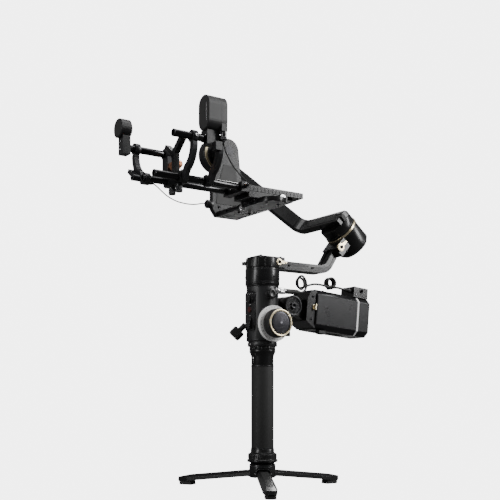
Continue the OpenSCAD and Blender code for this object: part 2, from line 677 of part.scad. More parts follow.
tripod_hub();
leg_pins();
lower_collar();
grip_core();
grip_sleeve();
upper_collar();
column_shell();
button_panel();
wheel_base();
pan_case();
column_plug();
leg_1();
leg_2();
leg_3();
foot_1();
foot_2();
foot_3();
quick_ring();
joystick();
record_button();
trigger();
control_wheel();
wheel_ring();
wheel_cap();
side_knob();
pan_rotor();
pan_lock();
pan_lever();
yaw_arm();
roll_case();
roll_ring();
roll_lever();
roll_rotor();
roll_lock();
roll_arm();
tilt_case();
tilt_ring();
l_bracket();
bracket_base();
plate_screws();
camera_plate();
rods();
rod_clamp();
near_brackets();
near_servo();
near_gear();
far_bracket();
far_servo();
copper_knob();
battery_mount();
battery_box();
light_band();
port_block();
battery_latch();
power_lead();
lead_coil();
lead_plugs();
focus_lead();
servo_lead();
servo_plugs();
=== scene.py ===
# Visual model of a three-axis camera gimbal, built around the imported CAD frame.
# Numbers are millimetres unless named.
import json
import math

import bmesh
import bpy
from mathutils import Matrix, Vector


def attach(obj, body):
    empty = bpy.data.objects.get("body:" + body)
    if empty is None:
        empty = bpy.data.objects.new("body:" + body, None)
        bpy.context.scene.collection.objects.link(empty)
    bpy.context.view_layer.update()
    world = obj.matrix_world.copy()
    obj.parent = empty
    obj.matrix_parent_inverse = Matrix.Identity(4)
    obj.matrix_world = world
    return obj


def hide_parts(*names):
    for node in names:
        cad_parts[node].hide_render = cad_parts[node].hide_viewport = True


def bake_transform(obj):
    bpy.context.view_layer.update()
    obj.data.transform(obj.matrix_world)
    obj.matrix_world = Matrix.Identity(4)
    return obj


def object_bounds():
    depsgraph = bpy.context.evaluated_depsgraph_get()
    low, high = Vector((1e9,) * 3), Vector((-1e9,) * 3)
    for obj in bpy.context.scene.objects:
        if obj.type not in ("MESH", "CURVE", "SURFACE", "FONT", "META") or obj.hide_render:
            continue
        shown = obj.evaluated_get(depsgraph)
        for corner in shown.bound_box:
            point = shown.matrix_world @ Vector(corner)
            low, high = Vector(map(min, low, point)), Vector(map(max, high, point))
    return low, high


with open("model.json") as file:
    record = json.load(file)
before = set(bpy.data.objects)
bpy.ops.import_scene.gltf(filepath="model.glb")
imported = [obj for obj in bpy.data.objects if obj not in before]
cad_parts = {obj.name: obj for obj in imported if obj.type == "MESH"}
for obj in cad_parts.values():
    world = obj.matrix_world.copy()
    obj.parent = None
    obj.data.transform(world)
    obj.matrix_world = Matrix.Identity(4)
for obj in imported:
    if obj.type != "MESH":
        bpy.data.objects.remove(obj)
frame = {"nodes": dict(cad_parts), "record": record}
cad_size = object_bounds()
nodes = frame["nodes"]
scene = bpy.context.scene
MM = 0.001


# ---------------------------------------------------------------- camera
camera_data = bpy.data.cameras.new("camera")
camera_data.lens = 61.2
camera_data.sensor_width = 36
camera_data.shift_y = 0.29
camera = bpy.data.objects.new("camera", camera_data)
camera.location = (1.2559, -0.8738, 0.1478)
camera.rotation_euler = Vector((-0.829, 0.559, 0)).to_track_quat("-Z", "Y").to_euler()
scene.collection.objects.link(camera)
scene.camera = camera


# ---------------------------------------------------------------- materials
def shade(name, colour, rough, metal=0.0, tint=0.06, grain=900.0, stretch=(1, 1, 1), bump=0.06,
          rough_var=0.12,
          wear=0.0, wear_colour=(0.35, 0.35, 0.36), coat=0.0, blotch=18.0, pattern=None,
          pattern_scale=900.0,
          pattern_bump=0.3):
    """A finish with fine grain, broad smudges, and paler worn edges. Its patterns follow the piece."""
    m = bpy.data.materials.new(name)
    m.use_nodes = True
    t = m.node_tree
    t.nodes.clear()
    out = t.nodes.new("ShaderNodeOutputMaterial")
    bsdf = t.nodes.new("ShaderNodeBsdfPrincipled")
    t.links.new(bsdf.outputs[0], out.inputs[0])
    bsdf.inputs["Metallic"].default_value = metal
    bsdf.inputs["Coat Weight"].default_value = coat
    where = t.nodes.new("ShaderNodeTexCoord")
    mapping = t.nodes.new("ShaderNodeMapping")
    mapping.inputs["Scale"].default_value = stretch
    t.links.new(where.outputs["Object"], mapping.inputs[0])

    def noise(scale, detail, vector):
        n = t.nodes.new("ShaderNodeTexNoise")
        n.inputs["Scale"].default_value = scale
        n.inputs["Detail"].default_value = detail
        t.links.new(vector, n.inputs["Vector"])
        return n.outputs["Fac"]

    def spread(value, low, high):
        r = t.nodes.new("ShaderNodeMapRange")
        r.inputs["From Min"].default_value = 0.3
        r.inputs["From Max"].default_value = 0.7
        r.inputs["To Min"].default_value = low
        r.inputs["To Max"].default_value = high
        t.links.new(value, r.inputs["Value"])
        return r.outputs[0]

    def mix(factor, a, b, kind="MIX"):
        x = t.nodes.new("ShaderNodeMix")
        x.data_type = "RGBA"
        x.blend_type = kind
        t.links.new(factor, x.inputs["Factor"])
        for socket, value in ((x.inputs[6], a), (x.inputs[7], b)):
            if isinstance(value, tuple):
                socket.default_value = (*value, 1)
            else:
                t.links.new(value, socket)
        return x.outputs[2]

    fine = noise(grain, 3, mapping.outputs[0])
    broad = noise(blotch, 4, where.outputs["Object"])
    darker = tuple(c * (1 - tint * 2) for c in colour)
    lighter = tuple(min(1, c * (1 + tint * 2) + tint * 0.02) for c in colour)
    base = mix(spread(fine, 0, 1), darker, lighter)
    base = mix(spread(broad, 0, 0.5), base, lighter)
    rough_value = spread(broad, rough - rough_var / 2, rough + rough_var / 2)
    add = t.nodes.new("ShaderNodeMath")
    add.operation = "ADD"
    t.links.new(rough_value, add.inputs[0])
    t.links.new(spread(fine, -rough_var / 3, rough_var / 3), add.inputs[1])
    rough_value = add.outputs[0]
    if wear:
        bevel = t.nodes.new("ShaderNodeBevel")
        bevel.samples = 4
        bevel.inputs["Radius"].default_value = 0.0007
        true = t.nodes.new("ShaderNodeNewGeometry")
        dot = t.nodes.new("ShaderNodeVectorMath")
        dot.operation = "DOT_PRODUCT"
        t.links.new(bevel.outputs[0], dot.inputs[0])
        t.links.new(true.outputs["Normal"], dot.inputs[1])
        edge = t.nodes.new("ShaderNodeMapRange")
        edge.inputs["From Min"].default_value = 0.985
        edge.inputs["From Max"].default_value = 0.8
        edge.inputs["To Min"].default_value = 0
        edge.inputs["To Max"].default_value = wear
        t.links.new(dot.outputs["Value"], edge.inputs["Value"])
        patchy = t.nodes.new("ShaderNodeMath")
        patchy.operation = "MULTIPLY"
        t.links.new(edge.outputs[0], patchy.inputs[0])
        t.links.new(spread(noise(130, 3, where.outputs["Object"]), 0.35, 1), patchy.inputs[1])
        base = mix(patchy.outputs[0], base, wear_colour)
    t.links.new(base, bsdf.inputs["Base Color"])
    t.links.new(rough_value, bsdf.inputs["Roughness"])
    height = t.nodes.new("ShaderNodeBump")
    height.inputs["Strength"].default_value = bump
    height.inputs["Distance"].default_value = 0.0003
    t.links.new(fine, height.inputs["Height"])
    normal = height.outputs[0]
    if pattern:
        if pattern == "pebble":
            p = t.nodes.new("ShaderNodeTexVoronoi")
            value = p.outputs["Distance"]
        else:
            p = t.nodes.new("ShaderNodeTexWave")
            p.bands_direction = pattern
            p.wave_profile = "TRI"
            value = p.outputs["Fac"]
        p.inputs["Scale"].default_value = pattern_scale
        t.links.new(where.outputs["Object"], p.inputs["Vector"])
        second = t.nodes.new("ShaderNodeBump")
        second.inputs["Strength"].default_value = pattern_bump
        second.inputs["Distance"].default_value = 0.0004
        t.links.new(value, second.inputs["Height"])
        t.links.new(normal, second.inputs["Normal"])
        normal = second.outputs[0]
    t.links.new(normal, bsdf.inputs["Normal"])
    return m


INK = (0.008, 0.008, 0.0085)
finish = {
    "black_metal": shade("black_metal", INK, 0.3, 0.35, wear=0.35, grain=1600, bump=0.1, coat=0.1),
    "dark_metal": shade("dark_metal", (0.02, 0.02, 0.022), 0.3, 0.6, wear=0.35, grain=1400, bump=0.08),
    "steel": shade("steel", (0.55, 0.55, 0.56), 0.24, 1.0, tint=0.04, stretch=(1, 1, 12), grain=500,
                   bump=0.05),
    "rubber": shade("rubber", (0.012, 0.012, 0.012), 0.68, 0, pattern="pebble", pattern_scale=1300,
                    pattern_bump=0.2),
    "black_shell": shade("black_shell", (0.010, 0.010, 0.011), 0.42, 0, wear=0.2, grain=2200, bump=0.16),
    "panel": shade("panel", (0.008, 0.008, 0.009), 0.24, 0, grain=2600, bump=0.05, coat=0.3, wear=0.2),
    "white": shade("white", (0.95, 0.95, 0.94), 0.38, 0, tint=0.012, grain=1500, bump=0.04, wear=0.3,
                   wear_colour=(0.6, 0.6, 0.6)),
    "red": shade("red", (0.06, 0.008, 0.007), 0.4, 0, tint=0.08, grain=1500, bump=0.1),
    "wheel_black": shade("wheel_black", (0.012, 0.012, 0.013), 0.45, 0.2, wear=0.3, grain=1800, bump=0.12),
    "gold": shade("gold", (0.74, 0.64, 0.44), 0.3, 1.0, tint=0.05, stretch=(1, 1, 8), grain=700, bump=0.05),
    "cap_grey": shade("cap_grey", (0.035, 0.034, 0.04), 0.33, 0.7, tint=0.08, stretch=(1, 9, 9), grain=260,
                      bump=0.05),
    "lock_black": shade("lock_black", (0.011, 0.011, 0.011), 0.55, 0, grain=1800, bump=0.2, wear=0.2),
    "motor_grey": shade("motor_grey", (0.018, 0.018, 0.020), 0.32, 0.55, wear=0.35, grain=1300, bump=0.08),
    "rod": shade("rod", (0.012, 0.012, 0.013), 0.2, 0.7, tint=0.08, stretch=(1, 0.06, 1), grain=1600,
                 bump=0.05,
                 coat=0.2),
    "bracket_grey": shade("bracket_grey", (0.020, 0.020, 0.022), 0.33, 0.5, wear=0.45, grain=1300,
                          bump=0.08),
    "copper": shade("copper", (0.78, 0.36, 0.20), 0.27, 1.0, tint=0.06, stretch=(1, 8, 8), grain=500,
                    bump=0.06),
    "box_black": shade("box_black", (0.012, 0.012, 0.013), 0.34, 0.5, tint=0.1, stretch=(1, 0.05, 1),
                       grain=1500,
                       bump=0.12, wear=0.35),
    "lead": shade("lead", (0.012, 0.012, 0.012), 0.5, 0, grain=1500, bump=0.18),
}
for entry in frame["record"]["subparts"]:
    mesh = nodes[entry["node"]].data
    if not mesh.materials:
        mesh.materials.append(None)
    for i in range(len(mesh.materials)):
        mesh.materials[i] = finish[entry["material_slot"]]


# ---------------------------------------------------------------- geometry helpers
def spline(points, steps):
    """The cord's points joined by a smooth curve, with extra points between them."""
    p = [Vector(q) for q in points]
    n = len(p) - 1
    out = []
    for i in range(n):
        a, b, c, d = p[max(i - 1, 0)], p[i], p[i + 1], p[min(i + 2, n)]
        for j in range(steps):
            t = j / steps
            out.append(0.5 * (2 * b + (c - a) * t + (2 * a - 5 * b + 4 * c - d) * t * t
                              + (3 * b - a - 3 * c + d) * t ** 3))
    out.append(p[-1])
    return out


def tube(points, radius, sides=12):
    """Round tube along the points; radius is a number or a function of the point's number."""
    p = [Vector(q) for q in points]
    n = len(p)
    u = Vector((0.13, 0.21, 0.97))
    verts, faces = [], []
    for i in range(n):
        h = (p[min(i + 1, n - 1)] - p[max(i - 1, 0)]).normalized()
        u = (u - h * u.dot(h)).normalized()
        v = h.cross(u)
        r = radius(i) if callable(radius) else radius
        for s in range(sides):
            a = 2 * math.pi * s / sides
            verts.append(p[i] + u * (r * math.cos(a)) + v * (r * math.sin(a)))
    for i in range(n - 1):
        for s in range(sides):
            a, b = i * sides + s, i * sides + (s + 1) % sides
            faces.append((a, b, b + sides, a + sides))
    faces.append(tuple(range(sides))[::-1])
    faces.append(tuple((n - 1) * sides + s for s in range(sides)))
    return verts, faces


def rim(points, radius, sides=8):
    """A closed loop of round wire."""
    p = [Vector(q) for q in points]
    n = len(p)
    centre = sum(p, Vector()) / n
    verts, faces = [], []
    for i in range(n):
        h = (p[(i + 1) % n] - p[i - 1]).normalized()
        u = p[i] - centre
        u = (u - h * u.dot(h)).normalized()
        v = h.cross(u)
        for s in range(sides):
            a = 2 * math.pi * s / sides
            verts.append(p[i] + u * (radius * math.cos(a)) + v * (radius * math.sin(a)))
    for i in range(n):
        for s in range(sides):
            a, b = i * sides + s, i * sides + (s + 1) % sides
            c, d = ((i + 1) % n) * sides + (s + 1) % sides, ((i + 1) % n) * sides + s
            faces.append((a, b, c, d))
    return verts, faces


def axis_at(origin, direction, turn=0.0):
    """Local +Z points along direction, from origin."""
    quat = Vector(direction).to_track_quat("Z", "Y")
    facing = Matrix.Translation(Vector(origin)) @ quat.to_matrix().to_4x4()
    return facing @ Matrix.Rotation(math.radians(turn), 4, "Z")


def ripple(kind, a, teeth):
    """How far out a ring lies at angle a, for its kind of outline."""
    if kind == "hex":
        return math.cos(math.pi / 6) / math.cos((a % (math.pi / 3)) - math.pi / 6)
    if kind == "square":
        return min(1.16, 1 / max(abs(math.cos(a)), abs(math.sin(a))))
    return 1.0


def turned(profile, matrix, n=32, teeth=0, depth=0.0):
    """A turned piece from (radius, height[, kind]) rings, bottom to top. kind: round, hex, square or cog."""
    if teeth:
        n = teeth * 4
    verts, faces = [], []
    for entry in profile:
        r, z = entry[:2]
        kind = entry[2] if len(entry) > 2 else "round"
        for s in range(n):
            a = 2 * math.pi * s / n
            k = ripple(kind, a, teeth)
            if kind == "cog":
                rr = r - (depth if s % 4 in (2, 3) else 0)
            else:
                rr = r * k
            verts.append(matrix @ Vector((rr * math.cos(a), rr * math.sin(a), z)))
    for i in range(len(profile) - 1):
        for s in range(n):
            a, b = i * n + s, i * n + (s + 1) % n
            faces.append((a, b, b + n, a + n))
    faces.append(tuple(range(n))[::-1])
    last = (len(profile) - 1) * n
    faces.append(tuple(last + s for s in range(n)))
    return verts, faces


def ring(inner, outer, z0, z1, matrix, n=64, teeth=0, depth=0.0, edge=0.3):
    """A turned ring with softened edges; its outside can be toothed."""
    if teeth:
        n = teeth * 4
    section = [(inner, z0 + edge), (inner, z1 - edge), (inner + edge, z1), (outer - edge, z1),
               (outer, z1 - edge),
               (outer, z0 + edge), (outer - edge, z0), (inner + edge, z0)]
    cogs = (3, 4, 5, 6)
    verts, faces = [], []
    for s in range(n):
        a = 2 * math.pi * s / n
        for i, (r, z) in enumerate(section):
            rr = r - depth if teeth and i in cogs and s % 4 in (2, 3) else r
            verts.append(matrix @ Vector((rr * math.cos(a), rr * math.sin(a), z)))
    m = len(section)
    for s in range(n):
        for i in range(m):
            a, b = s * m + i, s * m + (i + 1) % m
            c, d = ((s + 1) % n) * m + (i + 1) % m, ((s + 1) % n) * m + i
            faces.append((a, b, c, d))
    return verts, faces


def prism(outline, z0, z1, matrix, inset=0.3):
    """A flat outline given thickness, with its top edge softened."""
    n = len(outline)
    cx = sum(q[0] for q in outline) / n
    cy = sum(q[1] for q in outline) / n
    size = max(math.hypot(q[0] - cx, q[1] - cy) for q in outline)
    k = 1 - inset / size
    rings = [[(x, y, z0) for x, y in outline], [(x, y, z1 - inset) for x, y in outline],
             [(cx + (x - cx) * k, cy + (y - cy) * k, z1) for x, y in outline]]
    verts = [matrix @ Vector(q) for r in rings for q in r]
    faces = [(i * n + s, i * n + (s + 1) % n, (i + 1) * n + (s + 1) % n, (i + 1) * n + s)
             for i in range(2) for s in range(n)]
    faces += [tuple(range(n))[::-1], tuple(2 * n + s for s in range(n))]
    return verts, faces


def rounded(w, h, r, n=5):
    """Outline of a rectangle with round corners."""
    out = []
    for cx, cy, a0 in ((w / 2 - r, h / 2 - r, 0), (-w / 2 + r, h / 2 - r, 90),
                       (-w / 2 + r, -h / 2 + r, 180),
                       (w / 2 - r, -h / 2 + r, 270)):
        for i in range(n + 1):
            a = math.radians(a0 + 90 * i / n)
            out.append((cx + r * math.cos(a), cy + r * math.sin(a)))
    return out


def several(*parts):
    """Several shapes in one mesh."""
    verts, faces = [], []
    for v, f in parts:
        k = len(verts)
        verts += list(v)
        faces += [tuple(i + k for i in q) for q in f]
    return verts, faces


def piece(name, shape, look, body, bevel=0.0, smooth=True):
    """A named piece from a shape in millimetres, which moves with a body and takes its finish from a slot."""
    verts, faces = shape
    mesh = bpy.data.meshes.new(name)
    mesh.from_pydata([tuple(c * MM for c in v) for v in verts], [], faces)
    bm = bmesh.new()
    bm.from_mesh(mesh)
    bmesh.ops.recalc_face_normals(bm, faces=bm.faces)
    for f in bm.faces:
        f.smooth = smooth
    bm.to_mesh(mesh)
    bm.free()
    mesh.materials.append(finish[look])
    obj = bpy.data.objects.new(name, mesh)
    scene.collection.objects.link(obj)
    soften(obj, bevel)
    if body:
        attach(obj, body)
    return obj


def soften(obj, width):
    """Rounds the sharp edges, and keeps the flats flat."""
    if width:
        b = obj.modifiers.new("bevel", "BEVEL")
        b.width = width * MM
        b.segments = 2
        b.limit_method = "ANGLE"
        b.angle_limit = math.radians(38)
        b.use_clamp_overlap = True
        b.harden_normals = True
    w = obj.modifiers.new("normals", "WEIGHTED_NORMAL")
    w.keep_sharp = True


# ---------------------------------------------------------------- cords
def cord(name, points, radius, body, bodies, nodes_replaced):
    """A free cord as a mesh tube on its own route, riding on one body, or left unattached where it runs
    between two.
    """
    path = [Vector(p) * MM for p in points]
    length = sum((b - a).length for a, b in zip(path, path[1:]))
    obj = piece(name, tube(points, radius, 14), "lead", body)
    if bodies:
        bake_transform(obj)
    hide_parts(*nodes_replaced)
    return length


power_route = [
    (33, 55, 333), (33, 58, 333), (33, 61, 333), (33, 67, 334.5), (32.6, 72, 339), (32, 75, 346.5),
    (31, 74, 356),
    (30, 68, 363.5), (29, 61.5, 362), (28.4, 58, 354), (28, 59, 346), (27.6, 64, 340.5), (27, 70, 341),
    (26, 74.5, 348),
    (25, 73.5, 356.5), (24, 67.5, 361), (23.3, 61, 358), (22.8, 59.5, 350), (22.4, 64, 344),
    (22.2, 72, 343.5),
    (22.3, 84, 348), (22.8, 100, 352), (23.6, 116, 351.8), (24.2, 131, 349.7)]
coil_y, coil_z, coil_r, coil_turns, coil_steps = 142, 358, 8.5, 3, 14
for step in range(coil_turns * coil_steps + 1):
    angle = math.radians(-90 + 360 * step / coil_steps)
    power_route.append((24.3 - 4.2 * step / coil_steps, coil_y + coil_r * math.cos(angle),
                        coil_z + coil_r * math.sin(angle)))
power_route += [(12, 153, 350.3), (13.5, 163, 351), (14.6, 172, 349.6), (15, 180.2, 348.23),
                (15, 183.2, 347.97),
                (15, 186.2, 347.7)]
focus_route = [
    (-28, -211, 505), (-28, -208, 505), (-28, -205, 505), (-31, -197, 502.5), (-39, -183, 497.5),
    (-51, -165, 493.5),
    (-66, -140, 491.5), (-80, -114, 493), (-94, -90, 497), (-105, -72, 502), (-114, -59, 506.6),
    (-118, -52, 508),
    (-118, -49, 508), (-118, -46, 508)]
servo_route = [
    (75.5, -130, 566), (75.5, -130, 563), (75.5, -130, 560), (75, -126, 549), (72, -117, 538),
    (67, -105, 528),
    (62, -90, 519), (57, -75, 512.5), (51, -63, 510), (44, -57, 510), (41, -57, 510), (38, -57, 510)]
cord("power_cord", spline(power_route, 3), 2.0, None, ("column", "battery"), ("power_lead", "lead_coil"))
cord("focus_cord", spline(focus_route, 4), 1.1, None, ("plate", "tilt"), ("focus_lead",))
cord("servo_cord", spline(servo_route, 4), 1.1, "plate", None, ("servo_lead",))


# ---------------------------------------------------------------- softened edges on the CAD pieces
EDGE = {"l_bracket": 0.8, "camera_plate": 0.5, "roll_arm": 1.0, "yaw_arm": 0.9, "battery_box": 0.9,
        "near_servo": 0.9,
        "far_servo": 0.9, "port_block": 0.8, "leg_1": 0.6, "leg_2": 0.6, "leg_3": 0.6, "tripod_hub": 0.4,
        "battery_mount": 0.7, "rod_clamp": 0.6, "near_brackets": 0.7, "far_bracket": 0.7, "pan_rotor": 0.5,
        "column_shell": 0.35, "side_knob": 0.4, "trigger": 0.6, "wheel_base": 0.8, "control_wheel": 0.4,
        "tilt_case": 0.7, "roll_case": 0.5, "roll_rotor": 0.5, "pan_case": 0.35, "battery_latch": 0.6}
for n, obj in nodes.items():
    if n in ("power_lead", "lead_coil", "focus_lead", "servo_lead"):
        continue
    weld = obj.modifiers.new("weld", "WELD")
    weld.merge_threshold = 0.00001
    b = obj.modifiers.new("bevel", "BEVEL")
    b.width = EDGE.get(n, 0.25) * MM
    b.segments = 2
    b.limit_method = "ANGLE"
    b.angle_limit = math.radians(32)
    b.harden_normals = True


# ---------------------------------------------------------------- small shapes
X, Y, Z = Vector((1, 0, 0)), Vector((0, 1, 0)), Vector((0, 0, 1))


def spot(x, y, z, turn=(0, 0, 0)):
    """A frame at a point, turned about Z, then Y, then X, in degrees."""
    m = Matrix.Translation((x, y, z))
    for angle, axis in zip(turn, "ZYX"):
        m = m @ Matrix.Rotation(math.radians(angle), 4, axis)
    return m


roll_frame = spot(0, 0, 615, (0, 0, -39.5))
box_frame = spot(0, 55, 310, (0, 0, -5))
knob_frame = spot(-30, -37, 258, (56, -135, 0))
leg_angles = (90, 210, 330)


def leg_frame(angle):
    return Matrix.Rotation(math.radians(angle), 4, "Z") @ spot(17, 0, 7, (0, 6.3, 0))


def moved(shape, matrix):
    verts, faces = shape
    return [matrix @ Vector(v) for v in verts], faces


def bar(a, b, cut=0.25):
    """A small block between two corners, its top edge softened."""
    w, h = b[0] - a[0], b[1] - a[1]
    c = spot((a[0] + b[0]) / 2, (a[1] + b[1]) / 2, 0)
    outline = [(-w / 2, -h / 2), (w / 2, -h / 2), (w / 2, h / 2), (-w / 2, h / 2)]
    return prism(outline, a[2], b[2], c, min(cut, w * 0.3, h * 0.3, (b[2] - a[2]) * 0.45))


def screw(origin, direction, r, matrix=None):
    """Cap screw with a hexagon socket, standing on a surface."""
    h = r * 0.8
    m = (matrix or Matrix.Identity(4)) @ axis_at(origin, direction, 15)
    return turned([(r, 0), (r, h * 0.75), (r * 0.86, h), (r * 0.56, h, "hex"), (r * 0.52, h * 0.3, "hex"),
                   (0.03, h * 0.3)], m, 24)


def disc(r, z0, z1, matrix, edge=0.3, n=40):
    """A thin round piece with softened edges."""
    return turned([(r - edge, z0), (r, z0 + edge), (r, z1 - edge), (r - edge, z1)], matrix, n)


def around(r, z, angle):
    """A point on a cylinder about the column, and the way out from it."""
    a = math.radians(angle)
    out = Vector((math.cos(a), math.sin(a), 0))
    return out * r + Z * z, out


def label(r, z, angle, w, h):
    """A thin printed mark on the column's round face."""
    place, out = around(r, z, angle)
    m = Matrix.Translation(place) @ Matrix.Rotation(math.radians(angle), 4,
                                                    "Z") @ Matrix.Rotation(math.pi / 2, 4, "Y")
    return prism([(-h / 2, -w / 2), (h / 2, -w / 2), (h / 2, w / 2), (-h / 2, w / 2)], -0.2, 0.12, m, 0.05)


# ---------------------------------------------------------------- tripod
inlays, arches, pads, studs = [], [], [], []
for angle in leg_angles:
    m = leg_frame(angle)
    inlays.append(moved(prism(rounded(118, 12.5, 3), 6.3, 6.75, spot(74, 0, 0), 0.25), m))
    studs.append(moved(disc(2.9, 16.0, 16.6, axis_at((0, 0, 0), Y)), m))
    studs.append(moved(disc(2.9, 16.0, 16.6, axis_at((0, 0, 0), -Y)), m))
    turn = Matrix.Rotation(math.radians(angle), 4, "Z")
    arch = [(-12.5, 1.2), (-12.5, 5), (-12.4, 9.5)]
    arch += [(-6.4 - 6.1 * math.cos(math.radians(t)),
              9.2 + 6.1 * math.sin(math.radians(t))) for t in range(15, 91, 15)]
    arch += [(0, 15.4)] + [(-y, z) for y, z in arch[::-1]]
    arches.append(tube([turn @ Vector((math.sqrt(23.55 ** 2 - y * y), y, z)) for y, z in arch], 0.45, 8))
    for k in range(4):
        pads.append(moved(bar((128 + 5.5 * k, -8, -6.9), (130.5 + 5.5 * k, 8, -5.9)), m))
for angle, shape in zip(leg_angles, inlays):
    piece(f"leg_inlay_{leg_angles.index(angle) + 1}", shape, "lock_black",
          f"leg_{leg_angles.index(angle) + 1}")
piece("hub_arches", several(*arches), "dark_metal", "column")
piece("hinge_caps", several(*studs), "dark_metal", "column")
piece("hub_band", ring(23.3, 23.75, 18.3, 20.3, spot(0, 0, 0)), "dark_metal", "column")
piece("collar_knurl", ring(25.2, 25.95, 34.2, 41.3, spot(0, 0, 0), teeth=54, depth=0.5), "black_metal",
      "column")
piece("grip_rings",
      several(ring(20.1, 20.7, 51.2, 53.4, spot(0, 0, 0)), ring(20.1, 20.7, 198.6, 200.8, spot(0, 0, 0))),
      "dark_metal", "column")

# ---------------------------------------------------------------- column
marks = [label(20.05, 214, -90, 2.2, 2.2), label(20.05, 209.5, -90, 0.7, 2.6),
         label(20.05, 205.5, -90, 0.7, 1.2)]
marks += [label(26.52, 238.3, -90, 0.8, 3)]
piece("align_marks",
      several(turned([(1.7, -0.2), (1.7, 0.14)], axis_at(around(20.05, 214, -90)[0], -Y), 24), *marks[1:]),
      "white", "column")
piece("ring_mark", label(23.52, 231.5, -79, 0.8, 2.4), "white", "quick_ring")
piece("column_bands",
      several(ring(28.5, 28.95, 245.4, 246.6, spot(0, 0, 0)),
              ring(28.5, 28.95, 338.6, 339.6, spot(0, 0, 0)),
                              ring(28.5, 28.85, 291.2, 291.8, spot(0, 0, 0), edge=0.15)), "dark_metal",
                              "column")
piece("pan_bands",
      several(ring(30.4, 30.95, 346.4, 347.4, spot(0, 0, 0)),
              ring(30.4, 30.95, 369.6, 371.2, spot(0, 0, 0)),
                           ring(30.4, 30.85, 349, 349.6, spot(0, 0, 0), edge=0.15)), "dark_metal", "column")
piece("column_screws", several(*[screw(*around(26.4, 238.2, a), 1.5) for a in (-150, -30, 30, 90, 150)],
                               *[screw(*around(30.6, 358, a), 1.6) for a in (-52, 8, 68, 128, 188, 248)]),
      "dark_metal", "column")
panel_matrix = spot(0, -27, 297, (0, 0, 90))
outline = rounded(28.4, 69.4, 5.7)
piece("panel_rim", rim([panel_matrix @ Vector((x, y, 0.05)) for x, y in outline], 0.5), "dark_metal",
      "column")
piece("panel_rings",
      several(*[ring(r, r + 1.0, 0, 0.7, axis_at((0, -27, z), -Y)) for r, z in ((6.4, 318), (5.4, 300))]),
      "black_metal", "column")
icons = [disc(0.55, 0, 0.12, axis_at((x, -27, 328), -Y), 0.04, 16) for x in (-7.5, -2.5, 2.5, 7.5)]
icons += [moved(bar((-0.3, -1.2, 0), (0.3, 1.2, 0.12), 0.03), axis_at((x, -27, 309), -Y)) for x in (-2, 2)]
icons += [moved(bar((-1.3, -0.25, 0), (1.3, 0.25, 0.12), 0.03), axis_at((0, -27, 289.5), -Y))]
piece("panel_marks", several(*icons), "white", "column")
piece("joystick_grip",
      several(turned([(5.9, 31), (6.3, 31.4), (6.3, 32.2), (5.4, 32.8), (4.2, 32.3), (0.05, 31.8)],
                                      axis_at((0, 0, 318), -Y), teeth=14),
                               *[disc(0.5, 32, 32.6, axis_at((x, 0, 318 + z), -Y), 0.15, 12)
                                 for x, z in ((2.2, 0), (-2.2, 0), (0, 2.2), (0, -2.2))]), "rubber",
                                 "joystick")
piece("record_dish",
      turned([(4.6, 28.4), (4.6, 28.9), (4.0, 29.1), (3.0, 28.75), (0.05, 28.65)],
             axis_at((0, 0, 300), -Y)),
      "red", "record_button")
piece("trigger_ribs",
      several(*[bar((-5.2, -32.6 + 0.55 * k, 270.5 + 3 * k), (5.2, -31.1 + 0.55 * k, 271.6 + 3 * k))
                                for k in range(4)]), "rubber", "trigger")

# control wheel
wheel = axis_at((0, 0, 274), X)
piece("wheel_knurl", ring(24.8, 25.45, 41, 53.2, wheel, teeth=84, depth=0.4), "wheel_black", "wheel")
piece("wheel_face",
      several(*[ring(r, r + 0.35, 56.4, 57.75 + (20 - r) * 0.03, wheel, edge=0.1) for r in (17.6, 14.8,
                                                                                            8.4)]),
      "dark_metal", "wheel")
piece("wheel_trim", ring(21.2, 24.1, 56.0, 57.9, wheel, edge=0.6), "gold", "wheel")
dial = [moved(bar((-0.25, 27.6, 37.9), (0.25, 29.4 if k % 3 else 30.2, 38.1), 0.02),
              wheel @ Matrix.Rotation(math.radians(12 * k), 4, "Z")) for k in range(30)]
piece("dial_marks", several(*dial), "cap_grey", "column")
piece("dial_lip", ring(30.6, 31.9, 36.6, 38.35, wheel), "white", "column")

# side knob
square = [(9.0, -9.9, "square"), (10.1, -9.2, "square"), (10.4, -8.2, "square"), (10.4, 5.8, "square"),
          (9.9, 6.8, "square"),
          (8.6, 7.4, "square"), (6.2, 7.4), (5.8, 6.7), (2.0, 6.7), (1.8, 7.3), (0.05, 7.3)]
ribs = []
for k in range(4):
    side = knob_frame @ Matrix.Rotation(math.radians(90 * k), 4, "Z")
    ribs += [moved(bar((10.2, -6.5 + 2.6 * i, -7.4), (11.0, -5.2 + 2.6 * i, 5.0)), side) for i in range(6)]
knob = piece("side_knob_grip", several(turned(square, knob_frame, 48), *ribs), "rubber", "side_knob")
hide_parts("side_knob")

# angled plug of the power lead
along = axis_at((33, 0, 333), Y)
piece("plug_collar", several(turned([(3.6, 4), (5.8, 4.6), (5.8, 11), (5.0, 11.6), (5.0, 13)], along),
                             ring(3.5, 5.9, 13, 21, along, teeth=26, depth=0.35),
                             turned([(5.4, 21), (5.4, 25), (3.6, 26.5)], along)), "steel", "column")
relief = [(4.2, 27.2), (4.7, 28.2), (4.7, 36), (4.3, 36.6), (4.3, 38)]
for k in range(5):
    relief += [(4.6, 38.4 + 3 * k), (4.6, 39.9 + 3 * k), (4.2, 40.3 + 3 * k), (4.2, 41.2 + 3 * k)]
relief += [(4.5, 53.8), (4.2, 55.2), (3.3, 56.2), (3.0, 58), (2.5, 60.5), (2.15, 61)]
piece("plug_barrel", turned(relief, along), "rubber", "column")
cap = axis_at((0, -4, 327), X)
piece("plug_cap",
      several(turned([(8.4, 31), (9.4, 31.8), (9.4, 36.4), (8.6, 37.6), (5.4, 37.9), (5.0, 37.3),
                      (0.05, 37.3)],
                                 cap, 40), ring(9.2, 9.8, 32.6, 35.6, cap, teeth=30, depth=0.4)),
                                 "black_metal", "column")

